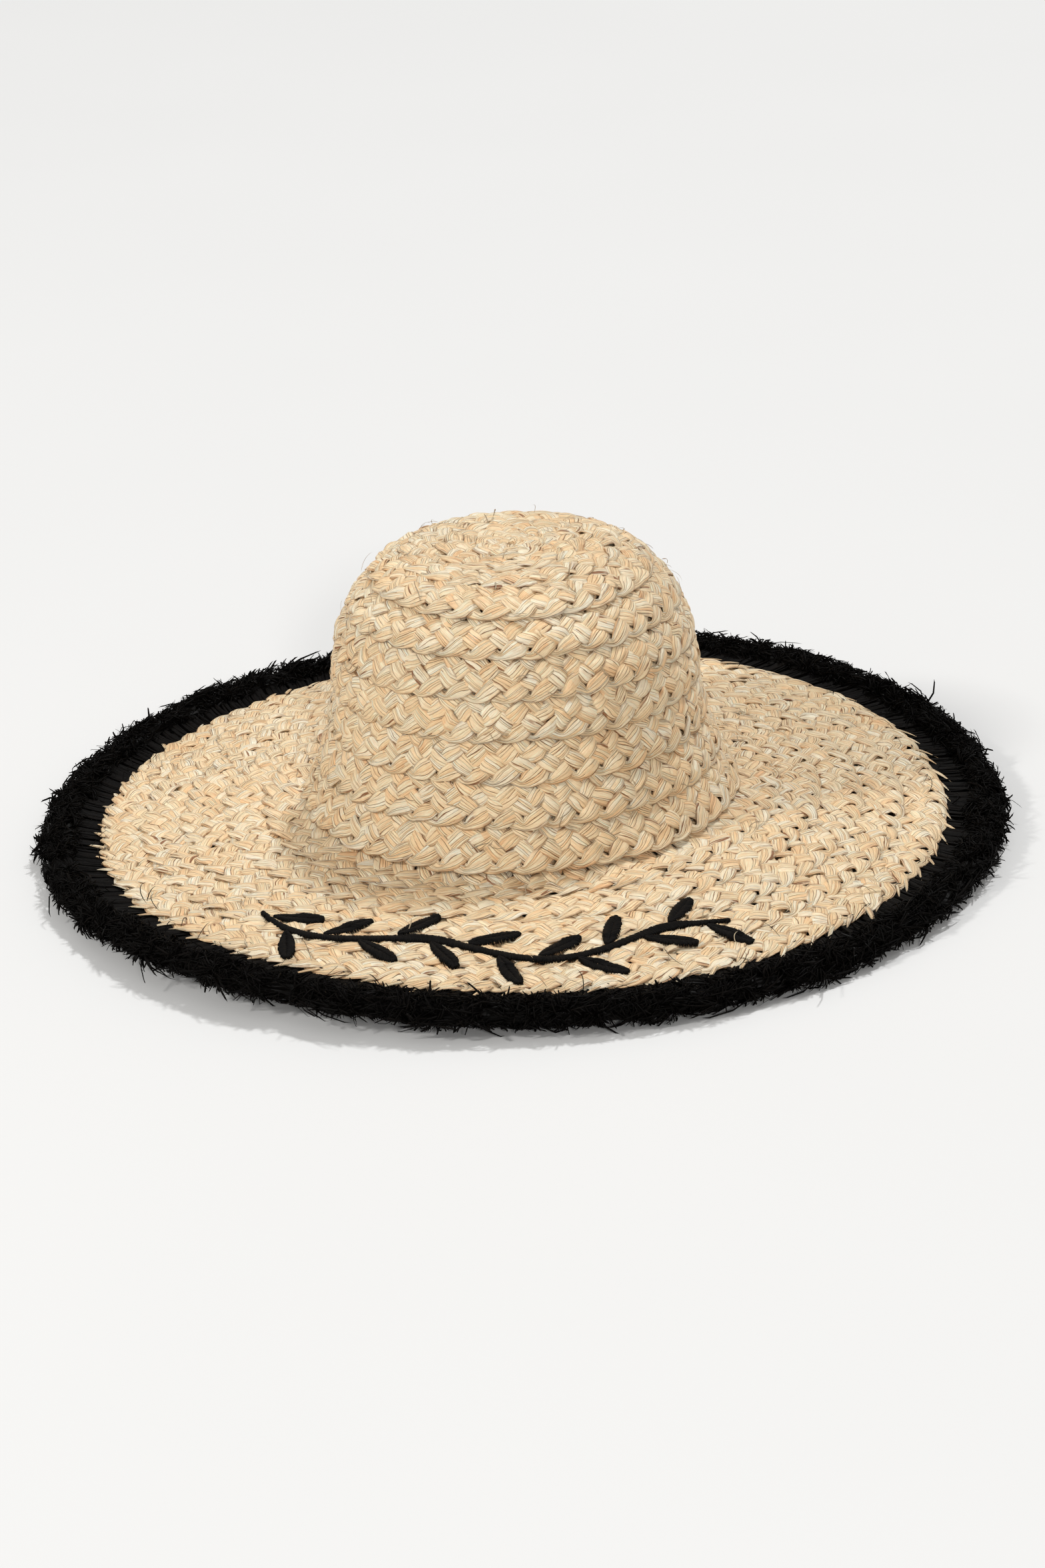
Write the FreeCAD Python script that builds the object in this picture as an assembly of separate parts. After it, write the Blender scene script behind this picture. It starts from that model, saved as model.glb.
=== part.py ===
"""Straw sun hat: a round hat sewn from rings of five-strand plaited raffia braid.

Each course of braid is a closed ring that follows one outline, from the middle of the tip down the
crown and out along the brim. A course tucks its inner edge under the course before it, and a ring of
sewing thread lies in that lap. A black braid and a black raffia fringe finish the brim's edge. A shaped
cotton sweatband with a blank size tag is sewn inside the crown, and a vine is embroidered on the brim.

Millimetres. The origin is on the hat's axis, in the plane that the fringe rests on. +Z points up
through the crown, and -Y is the front, where the vine is. On a section, a point is (radius, height),
and a depth is measured from the outline into the hat, square to it.
"""

import FreeCAD, Part

import math
import os

# Outline of the hat: the outermost corners of the courses lie on it.
BRIM_EDGE_RADIUS = 200.4
BRIM_EDGE_HEIGHT = 8.0
BRIM_DROP = 12.6
BRIM_ROOT_BEND = 5.0
CROWN_BASE_RADIUS = 103.2
CROWN_HEIGHT = 119.8
SHOULDER_RADIUS = 86.3
SHOULDER_HEIGHT = 59.8
TIP_FLAT_RADIUS = 40.6
CROWN_FLARE_POWER = 1.6

# Braid and how it is sewn.
BRAID_THICKNESS = 2.3
BRAID_LAP = 4.0
TIP_PITCH = 17.4
TIP_COURSES = 4
SIDE_COURSES = 6
BRIM_COURSES = 5
THREAD_THICKNESS = 0.5
THREAD_WIDTH = 0.9
THREAD_FIT = 0.02

# Black edge.
EDGE_BRAID_SHOWN = 11.0
EDGE_BRAID_HIDDEN = 9.0
FRINGE_WIDTH = 18.7
FRINGE_RISE = 7.1
FRINGE_REST_WIDTH = 11.0
FRINGE_FIT = 0.05

# Sweatband, its tag and its thread.
SWEATBAND_WIDTH = 28.0
SWEATBAND_THICKNESS = 0.8
SWEATBAND_ABOVE_BASE = 12.0
SWEATBAND_GAP = 0.3
SWEATBAND_SEAM_INSET = 3.0
TAG_WIDTH = 32.0
TAG_HEIGHT = 16.0
TAG_THICKNESS = 0.3

# Embroidery: a running vine along the front of the brim.
VINE_MIDDLE_DEG = -96.0
VINE_SPAN_DEG = 75.0
VINE_OUTWARD = 8.3
VINE_SWING = 7.0
VINE_WAVES = 2
VINE_WIDTH = 4.0
VINE_THICKNESS = 1.0
LEAF_COUNT = 14
LEAF_LENGTH = 23.0
LEAF_WIDTH = 8.0
LEAF_LEAN_DEG = 45.0
LEAF_GAP = 0.6

CROWN_BASE_HEIGHT = BRIM_EDGE_HEIGHT + BRIM_DROP
TOP_HEIGHT = CROWN_BASE_HEIGHT + CROWN_HEIGHT
AXIS_START = FreeCAD.Vector(0, 0, 0)
AXIS_UP = FreeCAD.Vector(0, 0, 1)


def crown_side_radius(height):
    """Radius of the lower crown, which flares towards the brim, at a height above the crown's base."""
    flare = CROWN_BASE_RADIUS - SHOULDER_RADIUS
    return SHOULDER_RADIUS + flare * (1 - height / SHOULDER_HEIGHT) ** CROWN_FLARE_POWER


BEND_STEPS = 8


def quarter(start, corner, end, steps=BEND_STEPS):
    """Points of the quarter ellipse from start to end that is tangent to the sides of the corner."""
    points = []
    for i in range(steps + 1):
        turn = math.pi / 2 * i / steps
        a, b = 1 - math.sin(turn), 1 - math.cos(turn)
        points.append(tuple(c + a * (s - c) + b * (e - c) for s, c, e in zip(start, corner, end)))
    return points


def outline_points():
    """Points of the outline, from the middle of the tip to the brim's edge."""
    steps = 80
    tip_edge = (TIP_FLAT_RADIUS, TOP_HEIGHT)
    shoulder = (SHOULDER_RADIUS, CROWN_BASE_HEIGHT + SHOULDER_HEIGHT)
    points = [(0.0, TOP_HEIGHT)] + quarter(tip_edge, (SHOULDER_RADIUS, TOP_HEIGHT), shoulder, steps)
    for i in range(1, steps):
        height = SHOULDER_HEIGHT - (SHOULDER_HEIGHT - BRIM_ROOT_BEND) * i / steps
        points.append((crown_side_radius(height), CROWN_BASE_HEIGHT + height))
    root_start = (crown_side_radius(BRIM_ROOT_BEND), CROWN_BASE_HEIGHT + BRIM_ROOT_BEND)
    share = BRIM_ROOT_BEND / (BRIM_EDGE_RADIUS - CROWN_BASE_RADIUS)
    root_end = (CROWN_BASE_RADIUS + BRIM_ROOT_BEND, CROWN_BASE_HEIGHT - BRIM_DROP * share)
    points += quarter(root_start, (CROWN_BASE_RADIUS, CROWN_BASE_HEIGHT), root_end)
    points.append((BRIM_EDGE_RADIUS, BRIM_EDGE_HEIGHT))
    return points


OUTLINE = outline_points()
LENGTHS = [0.0]
for before, after in zip(OUTLINE, OUTLINE[1:]):
    LENGTHS.append(LENGTHS[-1] + math.dist(before, after))
BRIM_END = LENGTHS[-1]
CROWN_END = LENGTHS[len(OUTLINE) - 2 - BEND_STEPS // 2]


def on_outline(length):
    """Point of the outline at a length along it, carried on straight past either end."""
    i = 1
    while i < len(LENGTHS) - 1 and LENGTHS[i] < length:
        i += 1
    share = (length - LENGTHS[i - 1]) / (LENGTHS[i] - LENGTHS[i - 1])
    a, b = OUTLINE[i - 1], OUTLINE[i]
    return a[0] + share * (b[0] - a[0]), a[1] + share * (b[1] - a[1])


def place(length, depth):
    """Point at a length along the outline and a depth inside it."""
    reach = 1.5
    a, b = on_outline(length - reach), on_outline(length + reach)
    run, rise = b[0] - a[0], b[1] - a[1]
    size = math.hypot(run, rise)
    r, z = on_outline(length)
    return r + depth * rise / size, z - depth * run / size


def spline(points):
    """Edge along a smooth curve through points of a section."""
    curve = Part.BSplineCurve()
    curve.interpolate([FreeCAD.Vector(r, 0, z) for r, z in points])
    return curve.toShape()


def line(a, b):
    return Part.LineSegment(FreeCAD.Vector(a[0], 0, a[1]), FreeCAD.Vector(b[0], 0, b[1])).toShape()


def turned(edges):
    """Ring made by turning a closed section about the hat's axis."""
    ring = Part.Face(Part.Wire(edges)).revolve(AXIS_START, AXIS_UP, 360)
    if ring.Volume < 0:
        ring.reverse()
    return ring


def strip(start, end, depth_start, depth_end, thickness):
    """Ring of a strip whose outer face runs from depth_start to depth_end inside the outline."""
    steps = max(2, round((end - start) / 2))
    outer = []
    inner = []
    for i in range(steps + 1):
        share = i / steps
        depth = depth_start + share * (depth_end - depth_start)
        length = start + share * (end - start)
        outer.append(place(length, depth))
        inner.append(place(length, depth + thickness))
    return turned([spline(outer), line(outer[-1], inner[-1]), spline(inner), line(inner[0], outer[0])])


# Lengths along the outline at which the courses' outer edges show.
edges = [TIP_PITCH * (i + 1) for i in range(TIP_COURSES)]
side_pitch = (CROWN_END - edges[-1]) / SIDE_COURSES
brim_pitch = (BRIM_END - CROWN_END) / BRIM_COURSES
edges += [edges[-1] + side_pitch * (i + 1) for i in range(SIDE_COURSES)]
edges += [CROWN_END + brim_pitch * (i + 1) for i in range(BRIM_COURSES)]
CROWN_COURSES = TIP_COURSES + SIDE_COURSES
STEP = BRAID_THICKNESS + THREAD_THICKNESS
LAST = len(edges) - 1


def course_depth(i, length):
    """Depth of the outer face of a course: nil at its outer edge, and a step deeper a pitch inwards.

    The black braid comes after the last natural course, and keeps that course's slope.
    """
    if i > LAST:
        return STEP * (1 - (length - BRIM_END) / brim_pitch)
    return STEP * (edges[i] - length) / (edges[i] - edges[i - 1])


def button_depth(length):
    """Depth of the button's lower face, which lies a thread above the second course in their lap."""
    return course_depth(1, max(length, edges[0] - BRAID_LAP)) - THREAD_THICKNESS


def make_button():
    """Coiled disc of braid in the middle of the tip, with a flat top."""
    corners = [(0, 0), (edges[0], 0)]
    corners += [(length, button_depth(length)) for length in (edges[0], edges[0] - BRAID_LAP, 0)]
    points = [(length, TOP_HEIGHT - depth) for length, depth in corners]
    return turned([line(a, b) for a, b in zip(points, points[1:] + points[:1])])


def make_course(i):
    """Ring of braid from its inner edge, tucked under the course before, to its outer edge."""
    start = edges[i - 1] - BRAID_LAP
    return strip(start, edges[i], course_depth(i, start), 0, BRAID_THICKNESS)


def thread_ring(i):
    """Ring of thread in the lap between a course and the next one."""
    middle = edges[i] - BRAID_LAP / 2
    span = (middle - THREAD_WIDTH / 2, middle + THREAD_WIDTH / 2)
    faces = [course_depth(i + 1, length) for length in span]
    height = THREAD_THICKNESS - THREAD_FIT
    if i > 0:
        under = course_depth(i, span[0]) + BRAID_THICKNESS
        height = min(height, faces[0] - under - THREAD_FIT)
    tops = [face - height - THREAD_FIT / 2 for face in faces]
    return strip(*span, *tops, height)


def make_threads(first, last):
    """Thread rings of the laps from one course to another."""
    return Part.makeCompound([thread_ring(i) for i in range(first, last + 1)])


# The black braid shows past the natural edge and then runs into the fringe.
BRAID_SHOWN_END = BRIM_END + EDGE_BRAID_SHOWN
BRAID_HIDDEN_END = BRAID_SHOWN_END + EDGE_BRAID_HIDDEN
FRINGE_RADIUS = on_outline(BRAID_SHOWN_END)[0] + FRINGE_WIDTH


def make_edge_braid():
    start = BRIM_END - BRAID_LAP
    depths = [course_depth(LAST + 1, length) for length in (start, BRAID_HIDDEN_END)]
    return strip(start, BRAID_HIDDEN_END, *depths, BRAID_THICKNESS)


def fringe_mouth(length):
    """Points just above and just below the black braid, where the fringe's groove grips it."""
    depth = course_depth(LAST + 1, min(length, BRAID_HIDDEN_END))
    return place(length, depth - FRINGE_FIT), place(length, depth + BRAID_THICKNESS + FRINGE_FIT)


def make_fringe():
    """Ring of raffia pile, flat below, which holds the black braid's outer edge in a groove."""
    above, below = fringe_mouth(BRAID_SHOWN_END)
    above_end, below_end = fringe_mouth(BRAID_HIDDEN_END + FRINGE_FIT)
    rest_start = (below[0] + FRINGE_RADIUS - FRINGE_REST_WIDTH) / 2
    rest_end = rest_start + FRINGE_REST_WIDTH
    top = above[1] + FRINGE_RISE
    belly = (FRINGE_RADIUS, top / 2)
    crest = ((above[0] + FRINGE_RADIUS) / 2, top)
    section = [
        spline(quarter(below, (below[0], 0), (rest_start, 0))),
        line((rest_start, 0), (rest_end, 0)),
        spline(quarter((rest_end, 0), (FRINGE_RADIUS, 0), belly)),
        spline(quarter(belly, (FRINGE_RADIUS, top), crest)),
        spline(quarter(crest, (above[0], top), above)),
        line(above, above_end),
        line(above_end, below_end),
        line(below_end, below),
    ]
    return turned(section)


def make_edge_threads():
    """Thread rings of the black edge: one in the lap, and one where the fringe is sewn on."""
    end = BRAID_SHOWN_END - 2 * FRINGE_FIT
    start = end - THREAD_WIDTH
    tops = [course_depth(LAST + 1, length) - THREAD_THICKNESS for length in (start, end)]
    sewn = strip(start, end, *tops, THREAD_THICKNESS - THREAD_FIT)
    return Part.makeCompound([thread_ring(LAST), sewn])


# The sweatband clears the deepest corner of every crown course.
LINING_DEPTH = STEP * (1 + BRAID_LAP / side_pitch) + BRAID_THICKNESS + SWEATBAND_GAP
SWEATBAND_BOTTOM = CROWN_END - SWEATBAND_ABOVE_BASE
SWEATBAND_TOP = SWEATBAND_BOTTOM - SWEATBAND_WIDTH


def make_sweatband():
    return strip(SWEATBAND_TOP, SWEATBAND_BOTTOM, LINING_DEPTH, LINING_DEPTH, SWEATBAND_THICKNESS)


def make_sweatband_threads():
    """Thread rings between the crown and the sweatband, along the band's two sewn edges."""
    depth = LINING_DEPTH - SWEATBAND_GAP + THREAD_FIT
    height = SWEATBAND_GAP - 2 * THREAD_FIT
    rings = []
    for middle in (SWEATBAND_TOP + SWEATBAND_SEAM_INSET, SWEATBAND_BOTTOM - SWEATBAND_SEAM_INSET):
        rings.append(strip(middle - THREAD_WIDTH / 2, middle + THREAD_WIDTH / 2, depth, depth, height))
    return Part.makeCompound(rings)


def make_tag():
    """Blank size tag on the sweatband's inner face, at the back."""
    middle = (SWEATBAND_TOP + SWEATBAND_BOTTOM) / 2
    depth = LINING_DEPTH + SWEATBAND_THICKNESS
    ring = strip(middle - TAG_HEIGHT / 2, middle + TAG_HEIGHT / 2, depth, depth, TAG_THICKNESS)
    span_deg = math.degrees(TAG_WIDTH / place(middle, depth)[0])
    wedge = Part.makeCylinder(CROWN_BASE_RADIUS, TOP_HEIGHT, AXIS_START, AXIS_UP, span_deg)
    wedge.rotate(AXIS_START, AXIS_UP, 90 - span_deg / 2)
    return ring.common(wedge)


# The embroidered belt is all of the brim but its first course, and the vine runs near its middle.
BELT_START = CROWN_END + brim_pitch
VINE_RADIUS = (on_outline(BELT_START)[0] + BRIM_EDGE_RADIUS) / 2 + VINE_OUTWARD


def vine_point(share, sideways=0.0):
    """Point (x, y) of the vine's stem at a share of its span, moved sideways across the stem."""
    ends = []
    for s in (share - 0.001, share + 0.001):
        angle = math.radians(VINE_MIDDLE_DEG + VINE_SPAN_DEG * (s - 0.5))
        radius = VINE_RADIUS + VINE_SWING * math.sin(2 * math.pi * VINE_WAVES * s)
        ends.append((radius * math.cos(angle), radius * math.sin(angle)))
    (x0, y0), (x1, y1) = ends
    size = math.hypot(x1 - x0, y1 - y0)
    return (x0 + x1) / 2 + sideways * (y1 - y0) / size, (y0 + y1) / 2 - sideways * (x1 - x0) / size


def flat_curve(points, closed=False):
    """Edge along a smooth curve through (x, y) points."""
    curve = Part.BSplineCurve()
    curve.interpolate([FreeCAD.Vector(x, y, 0) for x, y in points], PeriodicFlag=closed)
    return curve.toShape()


def on_brim(edges_of_patch):
    """Layer of embroidery on the brim, inside a closed flat outline."""
    patch = Part.Face(Part.Wire(edges_of_patch)).extrude(AXIS_UP * TOP_HEIGHT)
    layer = strip(BELT_START, BRIM_END, -VINE_THICKNESS, -VINE_THICKNESS, VINE_THICKNESS)
    return patch.common(layer)


def make_stem():
    """Stem of the vine, tapering to its two ends."""
    steps = 36
    near = []
    far = []
    for i in range(steps + 1):
        share = i / steps
        half = VINE_WIDTH / 2 * min(1, 0.4 + 4 * share, 0.4 + 4 * (1 - share))
        near.append(vine_point(share, -half))
        far.append(vine_point(share, half))
    ends = []
    for a, b in ((near[-1], far[-1]), (far[0], near[0])):
        ends.append(Part.LineSegment(FreeCAD.Vector(*a, 0), FreeCAD.Vector(*b, 0)).toShape())
    return on_brim([flat_curve(near), ends[0], flat_curve(far), ends[1]])


def leaf_outline(share, side):
    """Pointed oval that grows from one side of the stem and leans along it."""
    clear = VINE_WIDTH / 2 + LEAF_GAP
    x0, y0 = vine_point(share, side * clear)
    x1, y1 = vine_point(share, side * (clear + 1))
    turn = side * math.radians(LEAF_LEAN_DEG)
    way_x = (x1 - x0) * math.cos(turn) - (y1 - y0) * math.sin(turn)
    way_y = (x1 - x0) * math.sin(turn) + (y1 - y0) * math.cos(turn)
    outline = []
    steps = 20
    for i in range(steps):
        angle = 2 * math.pi * i / steps
        along = LEAF_LENGTH * (1 - math.cos(angle)) / 2
        wide = LEAF_WIDTH / 2 * math.sin(angle) * math.sin(angle / 2) ** 0.3
        outline.append((x0 + along * way_x - wide * way_y, y0 + along * way_y + wide * way_x))
    return outline


def make_leaves():
    """Leaves on the stem's two sides by turns, each a patch of its own."""
    leaves = []
    for i in range(LEAF_COUNT):
        side = 1 if i % 2 else -1
        outline = leaf_outline((i + 0.4) / LEAF_COUNT, side)
        leaves.append(on_brim([flat_curve(outline, closed=True)]))
    return Part.makeCompound(leaves)


def export(name, shape):
    shape.exportStep("parts/" + name + ".step")


os.makedirs("parts", exist_ok=True)
export("crown_button", make_button())
for i in range(1, CROWN_COURSES):
    export(f"crown_course_{i + 1:02d}", make_course(i))
for i in range(BRIM_COURSES):
    export(f"brim_course_{i + 1:02d}", make_course(CROWN_COURSES + i))
export("crown_seam_thread", make_threads(0, CROWN_COURSES - 2))
export("brim_seam_thread", make_threads(CROWN_COURSES - 1, LAST - 1))
export("edge_braid", make_edge_braid())
export("edge_seam_thread", make_edge_threads())
export("edge_fringe", make_fringe())
export("sweatband", make_sweatband())
export("sweatband_seam_thread", make_sweatband_threads())
export("size_tag", make_tag())
export("embroidered_stem", make_stem())
export("embroidered_leaves", make_leaves())
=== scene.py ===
"""Straw sun hat: plaited raffia, black fringe and black embroidery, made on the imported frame."""

import math

import bpy
import numpy as np
from mathutils import Matrix, Vector


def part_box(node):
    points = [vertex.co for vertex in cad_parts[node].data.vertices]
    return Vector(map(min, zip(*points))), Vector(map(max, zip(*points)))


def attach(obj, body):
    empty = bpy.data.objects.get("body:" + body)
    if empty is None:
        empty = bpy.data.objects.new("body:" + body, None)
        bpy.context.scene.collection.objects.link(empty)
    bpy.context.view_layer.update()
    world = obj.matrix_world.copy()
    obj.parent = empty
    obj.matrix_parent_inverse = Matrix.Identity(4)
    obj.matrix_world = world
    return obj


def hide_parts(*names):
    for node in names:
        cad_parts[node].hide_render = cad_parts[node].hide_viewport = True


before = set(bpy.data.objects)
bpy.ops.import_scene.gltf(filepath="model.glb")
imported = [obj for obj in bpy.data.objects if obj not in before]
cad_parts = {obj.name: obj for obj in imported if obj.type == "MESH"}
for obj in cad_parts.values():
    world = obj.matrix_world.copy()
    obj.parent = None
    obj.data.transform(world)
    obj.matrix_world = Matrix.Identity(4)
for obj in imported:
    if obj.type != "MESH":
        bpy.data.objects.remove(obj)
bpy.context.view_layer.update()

bpy.ops.object.select_all(action="DESELECT")

# ---------------------------------------------------------------------------------------------
# CROWN AND BRIM, NATURAL BRAID. Fifteen courses of one braid: five flat bundles of split raffia
# leaf, each passing over one and under one from edge to edge. They are sewn to the block's outline
# from the middle of the tip outwards, and each course covers the inner edge of the next one.
# ---------------------------------------------------------------------------------------------

crown_courses = ["crown_button"] + [f"crown_course_{i:02d}" for i in range(2, 11)]
brim_courses = [f"brim_course_{i:02d}" for i in range(1, 6)]
tip_courses = 4
tip_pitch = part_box("crown_button")[1][0]
top_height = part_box("crown_button")[1][2]
brim_edge = (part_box("brim_course_05")[1][0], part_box("brim_course_05")[1][2])
crown_base = (0.1032, brim_edge[1] + 0.0126)
shoulder = (0.0863, crown_base[1] + 0.0598)
tip_flat = 0.0406
root_bend = 0.005
crown_flare = 1.6
outline_places = 80
root_places = 8


def quarter(start, corner, end, steps):
    """Quarter ellipse from start to end, tangent to both sides of the corner."""
    turn = np.linspace(0, math.pi / 2, steps + 1)[:, None]
    start, corner, end = (np.array(point) for point in (start, corner, end))
    return corner + (1 - np.sin(turn)) * (start - corner) + (1 - np.cos(turn)) * (end - corner)


def crown_side(height):
    """Points of the lower crown, which flares to the brim, at heights above the crown's base."""
    share = 1 - height / (shoulder[1] - crown_base[1])
    radius = shoulder[0] + (crown_base[0] - shoulder[0]) * share ** crown_flare
    return np.stack([radius, crown_base[1] + height], -1)


drop = (crown_base[1] - brim_edge[1]) * root_bend / (brim_edge[0] - crown_base[0])
outline = np.concatenate([
    [(0, top_height)],
    quarter((tip_flat, top_height), (shoulder[0], top_height), shoulder, outline_places),
    crown_side(np.linspace(shoulder[1] - crown_base[1], root_bend, outline_places)[1:-1]),
    quarter(crown_side(np.array(root_bend)), crown_base,
            (crown_base[0] + root_bend, crown_base[1] - drop), root_places),
    [brim_edge],
])
lengths = np.concatenate([[0], np.cumsum(np.linalg.norm(np.diff(outline, axis=0), axis=1))])
crown_end = lengths[-2 - root_places // 2]
brim_end = lengths[-1]
lift_places = ((math.radians(-125), 0.0066), (math.radians(52), 0.003))
lift_spread = 0.6
lift_inside = 0.1
lift_band = 0.12
slope_reach = 0.0015


def on_outline(length):
    """Points (radius, height) at lengths along the outline, carried on straight past its end."""
    slope = (outline[-1] - outline[-2]) / (lengths[-1] - lengths[-2])
    past = np.maximum(length - brim_end, 0)
    columns = [np.interp(length, lengths, outline[:, i]) + past * slope[i] for i in (0, 1)]
    return np.stack(columns, -1)


def lift(angle):
    """How far the soft brim's edge stands off the table at an angle round the hat."""
    rise = 0
    for middle, height in lift_places:
        away = np.mod(angle - middle + math.pi, 2 * math.pi) - math.pi
        rise = rise + height * np.exp(-((away / lift_spread) ** 2))
    return rise


def on_hat(length, depth, angle):
    """Places on the hat: a length along the outline, a depth inside it, an angle round the axis."""
    along = on_outline(length + slope_reach) - on_outline(np.maximum(length - slope_reach, 0))
    along /= np.linalg.norm(along, axis=-1, keepdims=True)
    point = on_outline(length)
    radius = point[..., 0] + depth * along[..., 1]
    height = point[..., 1] - depth * along[..., 0]
    out = np.clip((radius - lift_inside) / lift_band, 0, 1)
    height = height + lift(angle) * out * out * (3 - 2 * out)
    return np.stack([radius * np.cos(angle), radius * np.sin(angle), height], -1)


course_edges = [tip_pitch * (i + 1) for i in range(tip_courses)]
side_pitch = (crown_end - course_edges[-1]) / (len(crown_courses) - tip_courses)
course_edges += [course_edges[-1] + side_pitch * (i + 1) for i in range(len(crown_courses) - tip_courses)]
brim_pitch = (brim_end - crown_end) / len(brim_courses)
course_edges += [crown_end + brim_pitch * (i + 1) for i in range(len(brim_courses))]
braid_thickness = 0.0023
braid_lap = 0.004
braid_step = 0.0028
hidden_press = 0.0006
tucks = [0.0] + [0.0007] * 3 + [0.0021] * 6 + [0.0038] + [0.0010] * 4
bulges = [0.0] + [0.0002] * 3 + [0.0007] * 6 + [0.0004] * 5


def face_depth(course, length):
    """Depth of a course's outer face. The soft braid is pressed flat but for its tucked inner edge.

    The black braid comes after the last natural course.
    """
    if course >= len(course_edges):
        return braid_step * (1 - (length - brim_end) / brim_pitch)
    inner = course_edges[course - 1] if course else 0
    slope = tucks[course] / (course_edges[course] - inner)
    hidden = np.clip((inner - length) / braid_lap, 0, 1)
    shown = np.clip((length - inner) / (course_edges[course] - inner), 0, 1)
    bulge = bulges[course] * (np.sin(math.pi * shown) - 0.5)
    return slope * (course_edges[course] - length) + hidden_press * hidden - bulge


def new_piece(name, points, quads, triangles=None, maps=None):
    """Smooth mesh object from arrays of points and faces, with its UV maps by name."""
    triangles = np.zeros((0, 3), int) if triangles is None else triangles
    mesh = bpy.data.meshes.new(name)
    mesh.vertices.add(len(points))
    mesh.vertices.foreach_set("co", np.asarray(points, np.float32).ravel())
    corners = np.concatenate([quads.ravel(), triangles.ravel()])
    starts = np.concatenate([np.arange(len(quads)) * 4, quads.size + np.arange(len(triangles)) * 3])
    mesh.loops.add(len(corners))
    mesh.loops.foreach_set("vertex_index", corners.astype(np.int32))
    mesh.polygons.add(len(starts))
    mesh.polygons.foreach_set("loop_start", starts.astype(np.int32))
    for map_name, corners_uv in (maps or {}).items():
        layer = mesh.uv_layers.new(name=map_name)
        layer.data.foreach_set("uv", np.asarray(corners_uv, np.float32).ravel())
    mesh.update(calc_edges=True)
    mesh.validate()
    mesh.shade_smooth()
    piece = bpy.data.objects.new(name, mesh)
    bpy.context.collection.objects.link(piece)
    return piece


def settle(piece, material, slot, *nodes):
    """Gives a piece its finish and its body, and hides the imported parts that it stands for."""
    piece.data.materials.append(material)
    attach(piece, "root")
    if nodes:
        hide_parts(*nodes)
    return piece


strands = 5
strand_spacing = 0.0127
strand_half = 0.0042
crossing_rise = 0.0007
strand_crown = 0.00105
strand_belly = 0.00045
edge_turn = 0.0021
edge_pinch = 0.48
uneven_width = 0.12
uneven_path = 0.00042
uneven_pace = 0.0006
uneven_height = 0.00018
uneven_tilt = 0.13
ridge_height = 0.00019


def wander(random, rows, steps, knot, size):
    """Smooth random rows that fade out at both ends, with a knot every so many steps."""
    knots = random.normal(0, size, (rows, max(3, steps // knot + 2)))
    at = np.linspace(0, knots.shape[1] - 1, steps)
    low = np.minimum(at.astype(int), knots.shape[1] - 2)
    share = at - low
    share = share * share * (3 - 2 * share)
    values = knots[:, low] * (1 - share) + knots[:, low + 1] * share
    window = np.clip(np.minimum(np.arange(steps), steps - np.arange(steps)) / (2 * knot), 0, 1)
    return values * window


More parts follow.
